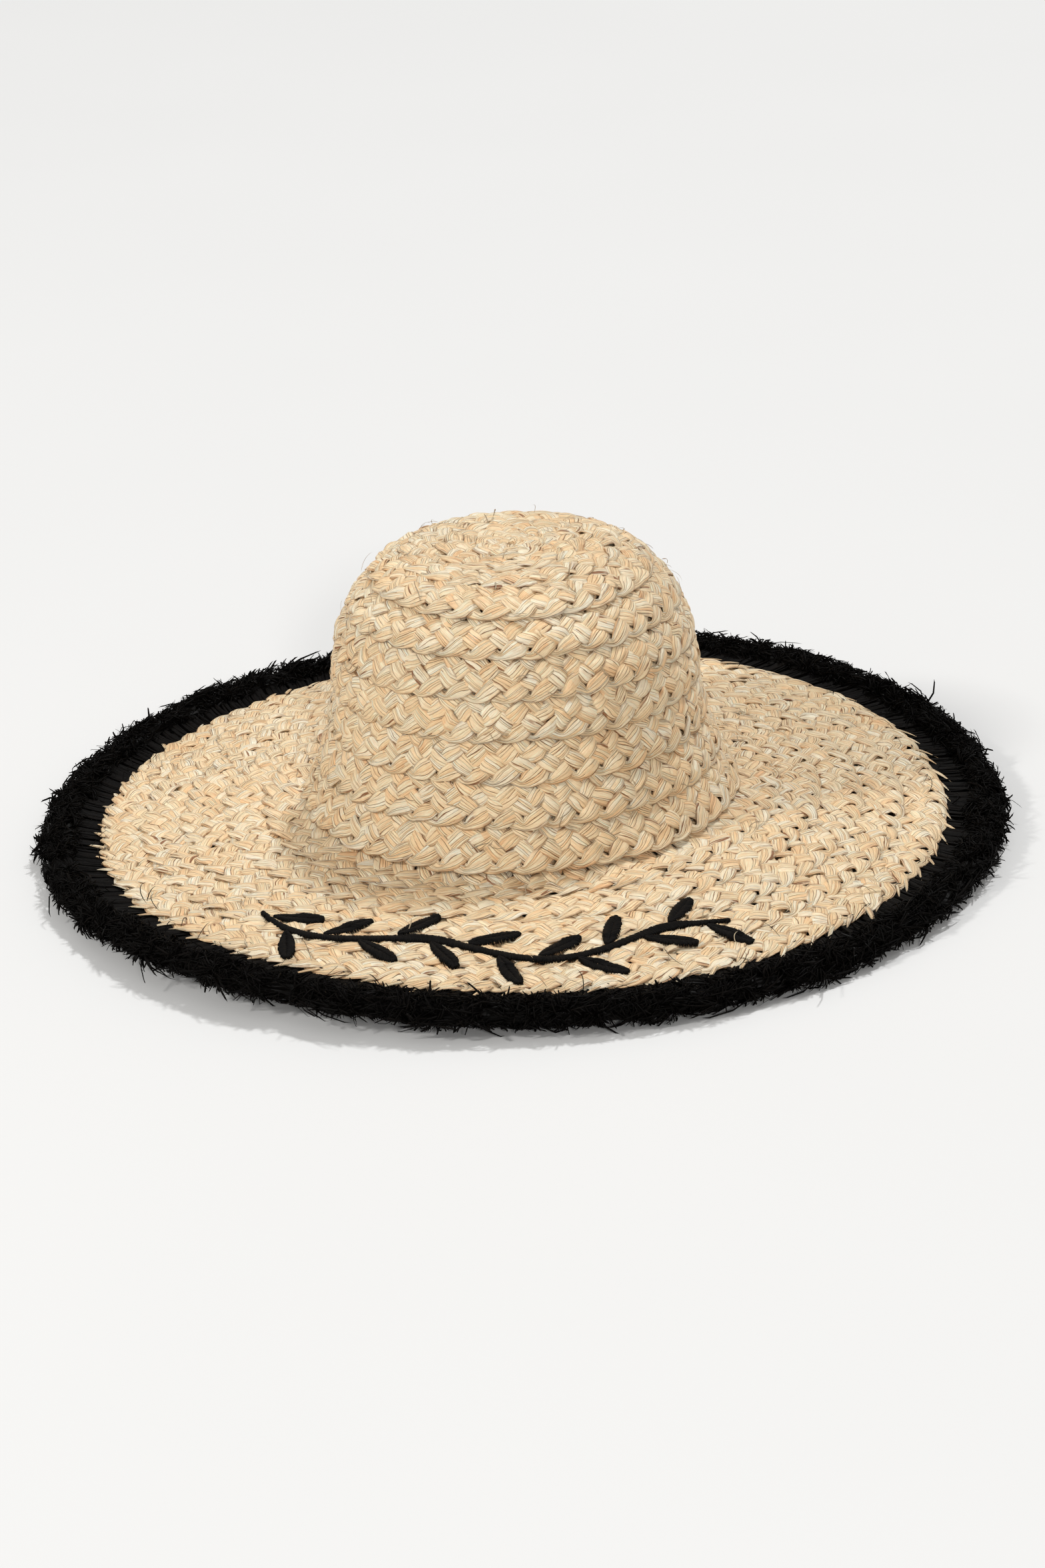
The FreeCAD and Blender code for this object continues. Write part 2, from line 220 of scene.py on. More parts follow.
def plait(name, course, start, end, seed, fine=6):
    """One closed course of flat five-strand plait between two lengths along the outline.

    A strand has twice as many places as fine says in each spacing of the strands.
    """
    random = np.random.default_rng(seed)
    middle = (start + end) / 2
    count = max(6, round(2 * math.pi * on_outline(middle)[0] / strand_spacing))
    steps = 2 * fine * count
    swing = (end - start) / 2 - edge_turn
    sharpness = 0.99
    nearby = 0.03
    strand = np.arange(strands)[:, None]

    def path(s):
        phase = (s + strand) / strands
        sway = np.arcsin(-sharpness * np.cos(2 * math.pi * phase)) / math.asin(sharpness)
        return phase, 2 * math.pi * s / count + math.pi / 2, middle + swing * sway

    s = np.arange(steps)[None, :] / (2 * fine)
    phase, angle, length = path(s)
    _, angle_1, length_1 = path(s + nearby)
    _, angle_0, length_0 = path(s - nearby)
    radius = np.maximum(on_outline(length)[..., 0], 0.003)
    run = radius * (angle_1 - angle_0)
    climb = length_1 - length_0
    size = np.hypot(run, climb)
    run, climb = run / size, climb / size

    # Over at a tenth and three tenths of each way across, under at two and four, and over again
    # after the turn at the edge.
    q = np.mod(phase, 0.5)
    q = np.where(q < 0.1, q + 0.5, q)
    rise = np.where(q <= 0.4, np.cos(10 * math.pi * (q - 0.1)), -np.cos(5 * math.pi * (q - 0.4)))
    rise = rise * math.sqrt(1.4) / np.sqrt(rise * rise + 0.4)
    at_edge = np.exp(-(((q - 0.5) / 0.05) ** 2))
    half = strand_half * (0.95 + 0.10 * rise) * (1 - edge_pinch * at_edge)
    half = half * (1 + wander(random, strands, steps, 2 * fine, uneven_width))
    length = length + wander(random, strands, steps, fine, uneven_path)
    angle = angle + wander(random, strands, steps, fine, uneven_pace) / radius
    height = crossing_rise * rise + wander(random, strands, steps, fine, uneven_height)
    lean = wander(random, strands, steps, fine, uneven_tilt)

    top_places, belly_places = 11, 4
    x = np.concatenate([-np.cos(np.linspace(0, math.pi, top_places)),
                        np.cos(np.linspace(0, math.pi, belly_places))[1:-1]])
    around = len(x)
    bow = np.sqrt(np.maximum(1 - x * x, 0)) ** 1.15
    bow = np.where(np.arange(around) < top_places, strand_crown * bow, -strand_belly * bow)
    ridges = np.stack([wander(random, strands, steps, 2 * fine, ridge_height) for _ in range(around)], -1)
    ridges[..., 0] = 0
    ridges[..., top_places - 1] = 0
    bow = bow * (1 - 0.3 * at_edge[..., None])
    section = height[..., None] + bow + ridges + lean[..., None] * x * half[..., None]
    length = length[..., None] + run[..., None] * half[..., None] * x
    length = np.maximum(length, 0.0012)
    near = np.maximum(on_outline(length)[..., 0], 0.0015)
    angle = angle[..., None] - climb[..., None] * half[..., None] * x / near
    depth = face_depth(course, length) + braid_thickness / 2 - section
    points = on_hat(length, depth, angle)

    # Each strand's last ring joins the first ring of the strand that it runs into.
    index = np.arange(strands * steps * around).reshape(strands, steps, around)
    follows = np.concatenate([index[:, 1:], index[(np.arange(strands) + count) % strands, :1]], 1)
    quads = np.stack([index, np.roll(index, -1, 2), np.roll(follows, -1, 2), follows], -1)

    step_length = size / (4 * nearby * fine)
    travelled = np.concatenate([np.zeros((strands, 1)), np.cumsum(step_length, 1)], 1)
    across = np.append((x + 1) / 2, 0.0)
    u0 = np.broadcast_to(travelled[:, :-1, None], (strands, steps, around))
    u1 = np.broadcast_to(travelled[:, 1:, None], (strands, steps, around))
    own = 7.0 * strand[..., None] + 41 * course
    v0 = np.broadcast_to(across[:-1] + own, u0.shape)
    v1 = np.broadcast_to(across[1:] + own, u0.shape)
    strand_map = np.stack([np.stack([u0, v0], -1), np.stack([u0, v1], -1),
                           np.stack([u1, v1], -1), np.stack([u1, v0], -1)], -2)

    # The bake's map lays the strands out in rows, cut so that the sheet of rows is about square.
    total = travelled[:, -1].mean()
    girth_size = 0.016
    rows = max(1, round(total / math.sqrt(strands * total * girth_size)))
    per_row = math.ceil(steps / rows)
    j = np.arange(steps)[None, :, None]
    row = strand[..., None] * rows + j // per_row
    top_share = 0.74
    girth = np.concatenate([np.linspace(0, top_share, top_places),
                            np.linspace(top_share, 1, belly_places)[1:]])
    a0, a1 = (j % per_row + 0.5) / (per_row + 1), (j % per_row + 1.5) / (per_row + 1)
    b0 = (row + 0.05 + 0.9 * girth[:-1]) / (strands * rows)
    b1 = (row + 0.05 + 0.9 * girth[1:]) / (strands * rows)
    a0, a1, b0, b1 = (np.broadcast_to(c, u0.shape) for c in (a0, a1, b0, b1))
    bake_map = np.stack([np.stack([a0, b0], -1), np.stack([a0, b1], -1),
                         np.stack([a1, b1], -1), np.stack([a1, b0], -1)], -2)
    maps = {"strand": strand_map, "OFBake": bake_map}
    return new_piece(name, points.reshape(-1, 3), quads.reshape(-1, 4), maps=maps)


class Value:
    """A number in a material, worked out by Math nodes when Python's operators meet it."""

    def __init__(self, finish, socket):
        self.finish, self.socket = finish, socket

    def math(self, operation, *others):
        inputs = dict(enumerate((self, *others)))
        return self.finish.node("Math", inputs, operation=operation)

    def __add__(self, other):
        return self.math("ADD", other)

    def __sub__(self, other):
        return self.math("SUBTRACT", other)

    def __mul__(self, other):
        return self.math("MULTIPLY", other)

    def __truediv__(self, other):
        return self.math("DIVIDE", other)

    def __rsub__(self, other):
        return (self * -1) + other

    __radd__ = __add__
    __rmul__ = __mul__


class Finish:
    """A material and its nodes, round one Principled shader."""

    def __init__(self, name, **sockets):
        self.material = bpy.data.materials.new(name)
        self.material.use_nodes = True
        self.nodes = self.material.node_tree.nodes
        self.links = self.material.node_tree.links
        self.shader = self.nodes["Principled BSDF"]
        for socket, value in sockets.items():
            self.set(self.shader.inputs[socket.replace("_", " ")], value)

    def set(self, socket, value):
        if isinstance(value, Value):
            self.links.new(value.socket, socket)
        else:
            socket.default_value = value

    def node(self, kind, inputs=None, output=0, **settings):
        """Adds a node: its settings first, then the values or links of its sockets."""
        node = self.nodes.new("ShaderNode" + kind)
        for name, value in settings.items():
            if name == "stops":
                while len(node.color_ramp.elements) < len(value):
                    node.color_ramp.elements.new(0.5)
                for element, (place, colour) in zip(node.color_ramp.elements, value):
                    element.position, element.color = place, (*colour, 1)
            else:
                setattr(node, name, value)
        for key, value in (inputs or {}).items():
            self.set(node.inputs[key], value)
        return Value(self, node.outputs[output])

    def noise(self, x, y, detail=2.0, rough=0.5):
        """Noise from 0 to 1 over two numbers that are already in the pattern's own scale."""
        place = self.node("CombineXYZ", {0: x, 1: y})
        return self.node("TexNoise", {"Vector": place, "Scale": 1.0, "Detail": detail, "Roughness": rough},
                         noise_dimensions="2D")

    def chance(self, x, y):
        """A random number from 0 to 1 for each pair of whole numbers."""
        return self.node("TexWhiteNoise", {"Vector": self.node("CombineXYZ", {0: x, 1: y})},
                         noise_dimensions="2D")

    def between(self, value, low, high):
        """0 below low and 1 above high, with a smooth step from one to the other."""
        inputs = {"Value": value, "From Min": low, "From Max": high}
        return self.node("MapRange", inputs, interpolation_type="SMOOTHSTEP")

    def mix(self, share, a, b, way="MIX"):
        """Colour between a and b, or their product, which is never brighter than white."""
        return self.node("Mix", {0: share, 6: a, 7: b}, output=2, data_type="RGBA", blend_type=way,
                         clamp_result=way == "MULTIPLY")


def raffia(name, stops, gap_shade_colour, gloss, relief, shine):
    """Split raffia leaf: narrow strips side by side in each bundle; the dark lines between them and along
    each strand's edges are painted shade.

    Patterns are scaled by the metre along a strand, and by the strand's width across it.
    """
    finish = Finish(name, Specular_IOR_Level=shine)
    place = finish.node("UVMap", uv_map="strand")
    split = finish.node("SeparateXYZ", {0: place})
    along = split
    across = Value(finish, split.socket.node.outputs[1])
    drift = finish.noise(along * 48, across * 1.1, 1.0)
    lane = across * 6.0 + drift * 3.6
    lane = lane + finish.noise(lane * 0.85, along * 22, 0.0) * 1.5
    strip = lane.math("FLOOR")
    part = lane - strip
    run = (along * 46 + finish.chance(strip, 3.0) * 9).math("FLOOR")
    tone = finish.chance(strip, run)
    edge = (part - 0.5).math("ABSOLUTE") * 2
    between = (lane + 0.5).math("FLOOR")
    depth = finish.chance(between, (along * 75 + between * 0.37).math("FLOOR"))
    streaks = finish.noise(along * 70, across * 62, 3.0, 0.7)
    fibre = finish.noise(along * 210, across * 30, 2.0, 0.6)
    patch = finish.noise(along * 30, across * 0.8 + 5, 1.0)
    fray = finish.noise(along * 240, across * 5 + 9, 1.0)
    # Painted shade in the gaps between the strips: thin dark lines, darker in some gaps than others, also
    # sunk by the bump.
    crease_shade = finish.between(edge + (fray - 0.5) * 0.25, 0.82, 0.98) * (depth * 1.1 + 0.06)
    # Painted shade along each strand's two edges, where it meets the strands beside it.
    rim_shade = (across.math("FRACT") - 0.5).math("ABSOLUTE") * 2
    rim_shade = finish.between(rim_shade + (fray - 0.5) * 0.5, 0.70, 1.02)
    shade = tone * 0.46 + patch * 0.7 - 0.05
    colour = finish.node("ValToRGB", {0: shade}, stops=stops)
    light = finish.between(streaks * 0.68 + fibre * 0.32, 0.30, 0.66)
    tint = finish.mix(light, (0.84, 0.69, 0.52, 1), (1.22, 1.22, 1.22, 1))
    colour = finish.mix(1.0, colour, tint, "MULTIPLY")
    # Painted shade: the gap lines and the strand edges are mixed toward the shade colour.
    colour = finish.mix((crease_shade + rim_shade * 0.50).math("MINIMUM", 0.94), colour, (*gap_shade_colour, 1))
    round_strip = (1 - edge * edge) * 0.55
    height = round_strip + (1 - crease_shade) * 0.6 + tone * 0.5 + streaks * 0.45 + fibre * 0.15
    bump = finish.node("Bump", {"Height": height, "Strength": relief, "Distance": 0.0006})
    finish.set(finish.shader.inputs["Base Color"], colour)
    finish.set(finish.shader.inputs["Roughness"], gloss + tone * 0.2 + streaks * 0.12)
    finish.set(finish.shader.inputs["Normal"], bump)
    return finish.material


natural_stops = [
    (0.00, (0.86, 0.42, 0.18)),
    (0.12, (0.94, 0.60, 0.33)),
    (0.34, (0.96, 0.70, 0.43)),
    (0.60, (0.98, 0.785, 0.545)),
    (0.84, (0.98, 0.88, 0.72)),
    (0.96, (0.97, 0.83, 0.62)),
]
# The third colour is the painted shade in the gaps between strips and at the strands' edges.
natural_raffia = raffia("natural raffia", natural_stops, (0.27, 0.09, 0.02), 0.34, 1.0, 0.6)

extra_lap = 0.0011
outer_overhang = 0.001
for i, name in enumerate(crown_courses + brim_courses):
    start = course_edges[i - 1] - braid_lap - extra_lap if i else 0.001
    end = course_edges[i] + (outer_overhang if i else 0)
    settle(plait(name + "_plait", i, start, end, 100 + i), natural_raffia, "natural_raffia_braid", name)

# ---------------------------------------------------------------------------------------------
# BLACK BRAID. One more course of the same plait, dyed black, tucked under the last natural course
# to start the edge. Its outer half runs into the fringe.
# ---------------------------------------------------------------------------------------------

edge_shown = 0.011
edge_hidden = 0.009
black_stops = [
    (0.0, (0.0016, 0.0013, 0.0011)),
    (0.6, (0.0032, 0.0025, 0.0021)),
    (1.0, (0.0070, 0.0054, 0.0044)),
]
# The third colour is the painted shade in the gaps between strips and at the strands' edges.
black_raffia = raffia("black raffia", black_stops, (0.001, 0.001, 0.001), 0.45, 0.6, 0.08)
edge_plait = plait("edge_braid_plait", len(course_edges), brim_end - braid_lap,
                   brim_end + edge_shown + edge_hidden, 140, fine=4)
settle(edge_plait, black_raffia, "black_raffia_braid", "edge_braid")

# ---------------------------------------------------------------------------------------------
# SEWING THREAD. Spun thread holds every lap: short stitches sunk between the strands near a
# course's outer edge, ecru in the natural courses and black in the edge.
# ---------------------------------------------------------------------------------------------


def tubes(name, paths, half_wide, half_thick, sides, facing):
    """Many thin tubes with pointed ends. paths is (tube, place, xyz); facing is each one's upper side."""
    many, places = paths.shape[:2]
    forward = np.gradient(paths, axis=1)
    forward /= np.linalg.norm(forward, axis=-1, keepdims=True) + 1e-12
    side = np.cross(forward, facing)
    side /= np.linalg.norm(side, axis=-1, keepdims=True) + 1e-12
    up = np.cross(side, forward)
    turn = np.arange(sides) * 2 * math.pi / sides
    wide = half_wide[:, 1:-1, None, None] * np.cos(turn)[:, None] * side[:, 1:-1, None, :]
    thick = half_thick[:, 1:-1, None, None] * np.sin(turn)[:, None] * up[:, 1:-1, None, :]
    rings = paths[:, 1:-1, None, :] + wide + thick
    ring_count = places - 2
    each = ring_count * sides + 2
    points = np.concatenate([rings.reshape(many, -1, 3), paths[:, :1], paths[:, -1:]], 1).reshape(-1, 3)
    first = (np.arange(many) * each)[:, None, None]
    ring = first + (np.arange(ring_count)[:, None] * sides + np.arange(sides))
    after = np.roll(ring, -1, 2)
    quads = np.stack([ring[:, :-1], ring[:, 1:], after[:, 1:], after[:, :-1]], -1)
    start_tip = np.broadcast_to(first[:, 0] + each - 2, ring[:, 0].shape)
    end_tip = np.broadcast_to(first[:, 0] + each - 1, ring[:, 0].shape)
    heads = np.stack([start_tip, ring[:, 0], after[:, 0]], -1)
    tails = np.stack([end_tip, after[:, -1], ring[:, -1]], -1)
    triangles = np.concatenate([heads.reshape(-1, 3), tails.reshape(-1, 3)])
    quads = quads.reshape(-1, 4)
    reach = np.linalg.norm(np.diff(paths, axis=1), axis=-1).sum(1)
    along = np.linspace(0, 1, places)
    own = np.random.default_rng(many).random(many) * 50

    def corner(indices):
        tube, within = indices // each, indices % each
        ring_at = np.where(within == each - 2, -1, np.where(within == each - 1, ring_count, within // sides))
        return np.stack([along[ring_at + 1] * reach[tube], own[tube] + (within % sides) / sides], -1)

    maps = {"strand": np.concatenate([corner(quads).reshape(-1, 2), corner(triangles).reshape(-1, 2)])}
    return new_piece(name, points, quads, triangles, maps)


two_turns = 12.566


def thread_finish(name, colour, rough):
    """Spun thread: matt, with a fine twist along it."""
    finish = Finish(name, Specular_IOR_Level=0.3)
    split = finish.node("SeparateXYZ", {0: finish.node("UVMap", uv_map="strand")})
    across = Value(finish, split.socket.node.outputs[1])
    twist = ((split * 3000 + across) * two_turns).math("SINE") * 0.5 + 0.5
    uneven = finish.noise(split * 1300, across * 2)
    finish.set(finish.shader.inputs["Base Color"],
               finish.mix(1.0, (*colour, 1), twist * 0.3 + uneven * 0.3 + 0.6, "MULTIPLY"))
    finish.set(finish.shader.inputs["Roughness"], rough + uneven * 0.15)
    finish.set(finish.shader.inputs["Normal"],
               finish.node("Bump", {"Height": twist, "Strength": 0.5, "Distance": 0.0001}))
    return finish.material


stitch_tilt = 0.0004
stitch_sink = 0.0007


def stitches(name, rows, pitch, stitch, thick, seed):
    """Rows of straight stitches round the hat. A row is (length along the outline, depth)."""
    random = np.random.default_rng(seed)
    paths = []
    facing = []
    for length, depth in rows:
        radius = on_outline(np.array(length))[0]
        count = round(2 * math.pi * radius / pitch)
        middle = (np.arange(count) + 0.3 * random.random(count)) * 2 * math.pi / count
        share = np.linspace(-0.5, 0.5, 5)
        angle = middle[:, None] + share * stitch / radius
        tilt = random.normal(0, stitch_tilt, count)[:, None] * share * 2
        sink = (2 * share) ** 2 * stitch_sink
        paths.append(on_hat(length + tilt, depth + sink, angle))
        facing.append(on_hat(length + tilt, depth + sink - 0.001, angle) - paths[-1])
    paths, facing = np.concatenate(paths), np.concatenate(facing)
    half = np.full(paths.shape[:2], thick / 2)
    return tubes(name, paths, half, half, 6, facing)


ecru_thread = thread_finish("ecru thread", (0.80, 0.72, 0.56), 0.6)
black_thread = thread_finish("black thread", (0.012, 0.011, 0.011), 0.55)
seam_inset = 0.0022
seam_pitch = 0.0127
seam_stitch = 0.003
seam_thread = 0.00042
seam_rows = [(edge - seam_inset, face_depth(i, edge - seam_inset) - 0.0001)
             for i, edge in enumerate(course_edges)]
last_crown = len(crown_courses) - 1
seams = [
    ("crown", seam_rows[:last_crown], 11, ecru_thread, "ecru_thread"),
    ("brim", seam_rows[last_crown:-1], 12, ecru_thread, "ecru_thread"),
    ("edge", seam_rows[-1:], 13, black_thread, "black_thread"),
]
for where, rows, seed, thread, slot in seams:
    seam = stitches(where + "_seam_stitches", rows, seam_pitch, seam_stitch, seam_thread, seed)
    settle(seam, thread, slot, where + "_seam_thread")

# ---------------------------------------------------------------------------------------------
# STRIPS OF THE BLACK EDGE. Flat strips of dyed leaf are sewn across the black braid, side by side
# and aslant. Their outer ends are split fine and stand up as the fringe.
# ---------------------------------------------------------------------------------------------

strip_random = np.random.default_rng(150)
strip_count = 620
strip_reach = 0.018
strip_start = brim_end - 0.003
strip_share = np.linspace(0, 1, 7)[None, :]
strip_turn = (np.arange(strip_count) + strip_random.random(strip_count)) * 2 * math.pi / strip_count
strip_slant = strip_random.normal(0.34, 0.08, (strip_count, 1))
strip_length = strip_start + (strip_reach + strip_random.normal(0, 0.0012, (strip_count, 1))) * strip_share
strip_angle = strip_turn[:, None] - strip_slant * strip_reach * strip_share / brim_edge[0]
strip_rise = 0.0006 + strip_random.uniform(0, 0.0006, (strip_count, 1)) + 0.0016 * strip_share ** 3
strip_depth = face_depth(len(course_edges), strip_length) - strip_rise
strip_paths = on_hat(strip_length, strip_depth, strip_angle)
strip_up = on_hat(strip_length, strip_depth - 0.001, strip_angle) - strip_paths
strip_tilt = strip_random.normal(0, 0.35, (strip_count, 1, 1))
strip_side = np.cross(strip_up, np.gradient(strip_paths, axis=1))
strip_side /= np.linalg.norm(strip_side, axis=-1, keepdims=True)
strip_wide = strip_random.uniform(0.0009, 0.0016, (strip_count, 1)) * np.ones((1, 7))
edge_strips = tubes("edge_braid_strips", strip_paths, strip_wide, strip_wide * 0.22, 6,
                    strip_up + 0.001 * strip_tilt * strip_side)
settle(edge_strips, black_raffia, "black_raffia_braid", "edge_braid")

# ---------------------------------------------------------------------------------------------
# POINTED ENDS. At each turn of the last natural course a split of leaf stands out past the edge,
# and lies on the black braid.
# ---------------------------------------------------------------------------------------------

end_random = np.random.default_rng(151)
end_count = round(2 * math.pi * brim_edge[0] / strand_spacing)
end_turn = (np.arange(end_count) + end_random.normal(0, 0.10, end_count)) * 2 * math.pi / end_count
end_size = end_random.uniform(0.011, 0.018, (end_count, 1))
end_share = np.linspace(0, 1, 7)[None, :]
end_lean = end_random.normal(0.55, 0.15, (end_count, 1))
end_length = brim_end - 0.0032 + end_size * end_share * np.sin(end_lean)
end_angle = end_turn[:, None] - end_size * end_share * np.cos(end_lean) / brim_edge[0]
end_depth = 0.0004 + 0.0011 * end_share - 0.0005 * np.sin(math.pi * end_share)
end_paths = on_hat(end_length, end_depth, end_angle)
end_up = on_hat(end_length, end_depth - 0.001, end_angle) - end_paths
end_wide = end_random.uniform(0.0009, 0.0015, (end_count, 1)) * np.array([0.6, 1, 1, 0.9, 0.65, 0.35, 0.1])
pointed_ends = tubes("brim_edge_pointed_ends", end_paths, end_wide, end_wide * 0.3, 6, end_up)
settle(pointed_ends, natural_raffia, "natural_raffia_braid", "brim_course_05")

# ---------------------------------------------------------------------------------------------
# FRINGE. A thick pile of cut black raffia, knotted in tufts through a core round the brim's edge.
# The tufts stand out on every side of the core, lean at random and curl, so the edge is lumpy.
# ---------------------------------------------------------------------------------------------

fringe_low, fringe_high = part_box("edge_fringe")
fringe_radius = fringe_high[0]
core_radius = fringe_radius - 0.0108
core_height = (fringe_low[2] + fringe_high[2]) / 2 - 0.0006
core_half_wide = 0.0056
core_half_high = 0.0036
upper_share = 0.66
long_share = 0.022
lumpiness = 0.62


def lumps(angle, phase):
    """Uneven fullness round the edge, from -1 to 1, in lumps of a thumb's width."""
    waves = [(61, 0.30), (83, 0.35), (107, 0.35), (131, 0.25), (29, 0.25)]
    return sum(size * np.sin(times * angle + phase * times) for times, size in waves)


def fibre_pile(name, tufts, each, low_angle, high_angle, seed):
    """Tufts of cut fibres that start on the core within a sweep of angles round the hat."""
    random = np.random.default_rng(seed)
    count = tufts * each

    def shared(values):
        return np.repeat(values, each)

    tuft_angle = random.uniform(low_angle, high_angle, tufts)
    above = random.random(tufts) < upper_share
    upper = random.uniform(-0.05, 0.86, tufts)
    lower = random.uniform(-0.62, 0.0, tufts)
    tuft_girdle = np.where(above, upper, lower) * math.pi
    angle = shared(tuft_angle) + random.normal(0, 0.0011 / fringe_radius, count)
    girdle = shared(tuft_girdle) + random.normal(0, 0.10, count)
    full = 1 + lumpiness * lumps(angle, 0.7) * np.cos(girdle)
    full = full + 0.25 * lumps(angle, 2.1) * np.abs(np.sin(girdle))
    reach = shared(random.uniform(0.0042, 0.0066, tufts)) * random.uniform(0.75, 1.1, count)
    reach = reach * np.clip(full, 0.5, 1.6) * np.where(np.sin(girdle) < -0.3, 0.42, 1)
    reach = reach * np.where(np.cos(girdle) < -0.2, 0.85, 1)
    long_ones = (random.random(count) < long_share) & (np.sin(girdle) > -0.1)
    reach = np.where(long_ones, reach * random.uniform(1.3, 1.8, count), reach)
    slant = shared(random.normal(-0.15, 0.55, tufts)) + random.normal(0, 0.35, count)
    curl = shared(random.normal(0, 0.7, tufts)) + random.normal(0, 0.8, count)
    hook = shared(random.normal(0.1, 0.6, tufts)) + random.normal(0, 0.7, count)
    share = np.array([[-0.3, 0.0, 0.36, 0.7, 0.95, 1.02]])
    bent = np.maximum(share, 0) ** 2
    away = reach[:, None] * (share - 0.25 * np.abs(curl)[:, None].clip(0, 1) * bent)
    turned = girdle[:, None] + np.clip(hook, -1.6, 1.6)[:, None] * 0.6 * bent
    out = np.cos(turned) * (core_half_wide + away)
    high = np.sin(turned) * (core_half_high + away)
    sideways = reach[:, None] * (np.clip(slant, -1.2, 1.2)[:, None] * share + curl[:, None] * bent)
    radius = core_radius + out
    turn = angle[:, None] + sideways / fringe_radius
    height = np.maximum(core_height + high, 0.0004) + lift(turn)
    paths = np.stack([radius * np.cos(turn), radius * np.sin(turn), height], -1)
    wide = random.uniform(0.00026, 0.00068, count)[:, None] * np.array([0.8, 0.9, 1.1, 1.05, 0.8, 0.3])
    facing = np.broadcast_to(random.normal(0, 1, (count, 1, 3)), paths.shape)
    return tubes(name, paths, wide, wide * 0.35, 3, facing)


fringe_finish = Finish("black fringe raffia", Specular_IOR_Level=0.05)
fibre_split = fringe_finish.node("SeparateXYZ", {0: fringe_finish.node("UVMap", uv_map="strand")})
fibre_own = Value(fringe_finish, fibre_split.socket.node.outputs[1])
fibre_tone = fringe_finish.chance(fibre_own.math("FLOOR"), 1.0)
fibre_line = fringe_finish.noise(fibre_split * 600, fibre_own * 9)
fringe_colour = fringe_finish.node("ValToRGB", {0: fibre_tone * 0.8 + fibre_line * 0.2}, stops=black_stops)
fringe_finish.set(fringe_finish.shader.inputs["Base Color"], fringe_colour)
fringe_finish.set(fringe_finish.shader.inputs["Roughness"], fibre_tone * 0.3 + 0.42)

bpy.ops.mesh.primitive_torus_add(major_segments=900, minor_segments=28, major_radius=core_radius,
                                 minor_radius=core_half_high, location=(0, 0, core_height))
core = bpy.context.object
core.name = "edge_fringe_core"
bpy.ops.object.transform_apply(location=True)
core_points = np.array([v.co for v in core.data.vertices])
core_angle = np.arctan2(core_points[:, 1], core_points[:, 0])
core_from = np.hypot(core_points[:, 0], core_points[:, 1])
core_out = (core_from - core_radius) / core_half_high
core_up = (core_points[:, 2] - core_height) / core_half_high
core_roughness = 0.0016
rough = np.random.default_rng(199).uniform(-0.35, 0.75, len(core_points)) * core_roughness
full = core_half_wide + 0.0012 * lumps(core_angle, 0.7) + rough
core_from = core_radius + core_out * full
core_points[:, 0] = core_from * np.cos(core_angle)
core_points[:, 1] = core_from * np.sin(core_angle)
full_high = core_half_high + np.where(core_up > 0, rough, 0)
core_points[:, 2] = core_height + core_up * full_high + lift(core_angle)
core.data.vertices.foreach_set("co", core_points.astype(np.float32).ravel())
core.data.uv_layers[0].name = "strand"
settle(core, fringe_finish.material, "black_raffia_fringe", "edge_fringe")
sweeps = 4
sweep_tufts = 640
tuft_fibres = 9
for i in range(sweeps):
    low = -math.pi + 2 * math.pi * i / sweeps
    high = low + 2 * math.pi / sweeps
    pile = fibre_pile(f"edge_fringe_pile_{i + 1}", sweep_tufts, tuft_fibres, low, high, 200 + i)
    settle(pile, fringe_finish.material, "black_raffia_fringe", "edge_fringe")

# ---------------------------------------------------------------------------------------------
# SWEATBAND. A bias-cut strip of ecru cotton twill inside the crown at the head's level, its two
# edges turned in. It is sewn through the braid along both edges, and its ends lap at the back.
# ---------------------------------------------------------------------------------------------

band_width = 0.028
band_bottom = crown_end - 0.012
band_top = band_bottom - band_width
band_depth = braid_step * (1 + braid_lap / side_pitch) + braid_thickness + 0.0003
band_thickness = 0.0008
band_columns = 288


def cloth_strip(name, low_angle, high_angle, columns, top, bottom, depth, thickness, pucker):
    """Strip of cloth on the crown's inside, thicker at its turned edges, open round the hat."""
    rows = 12
    share = np.linspace(0, 1, rows + 1)
    hem = np.where((share < 0.14) | (share > 0.86), 1.0, 0.0)
    angle = np.linspace(low_angle, high_angle, columns + 1)[:, None]
    length = top + (bottom - top) * share[None, :]
    wave = pucker * (np.sin(angle * 31) + 0.6 * np.sin(angle * 53 + 1)) * np.sin(math.pi * share) ** 0.5
    outer = on_hat(length, depth + wave - 0.0002 * hem, angle + 0 * length)
    inner = on_hat(length, depth + thickness + wave + 0.0003 * hem, angle + 0 * length)
    loop = np.concatenate([outer, inner[:, ::-1]], 1)
    around = loop.shape[1]
    index = np.arange(loop.shape[0] * around).reshape(loop.shape[0], around)
    after = np.roll(index, -1, 1)
    quads = np.stack([index[:-1], after[:-1], after[1:], index[1:]], -1).reshape(-1, 4)
    half = rows + 1
    caps = []
    for ring, order in ((index[0], (0, 3, 2, 1)), (index[-1], (0, 1, 2, 3))):
        back = ring[::-1]
        sides = (ring[:rows], ring[1:half], back[1:half], back[:rows])
        caps.append(np.stack([sides[k] for k in order], -1))
    span = on_outline(np.array((top + bottom) / 2))[0] * (high_angle - low_angle)
    ring_v = np.concatenate([share, share[::-1]]) * (bottom - top)
    ring_v = np.append(ring_v, ring_v[0])
    u = np.linspace(0, span, columns + 1)
    side = np.stack(np.broadcast_arrays(u[:-1, None], u[1:, None], ring_v[None, :-1], ring_v[None, 1:]), -1)
    uv = np.stack([side[..., [0, 2]], side[..., [0, 3]], side[..., [1, 3]], side[..., [1, 2]]], -2)
    cap_uv = np.zeros((2 * rows, 4, 2))
    maps = {"strand": np.concatenate([uv.reshape(-1, 2), cap_uv.reshape(-1, 2)])}
    return new_piece(name, loop.reshape(-1, 3), np.concatenate([quads] + caps), maps=maps)


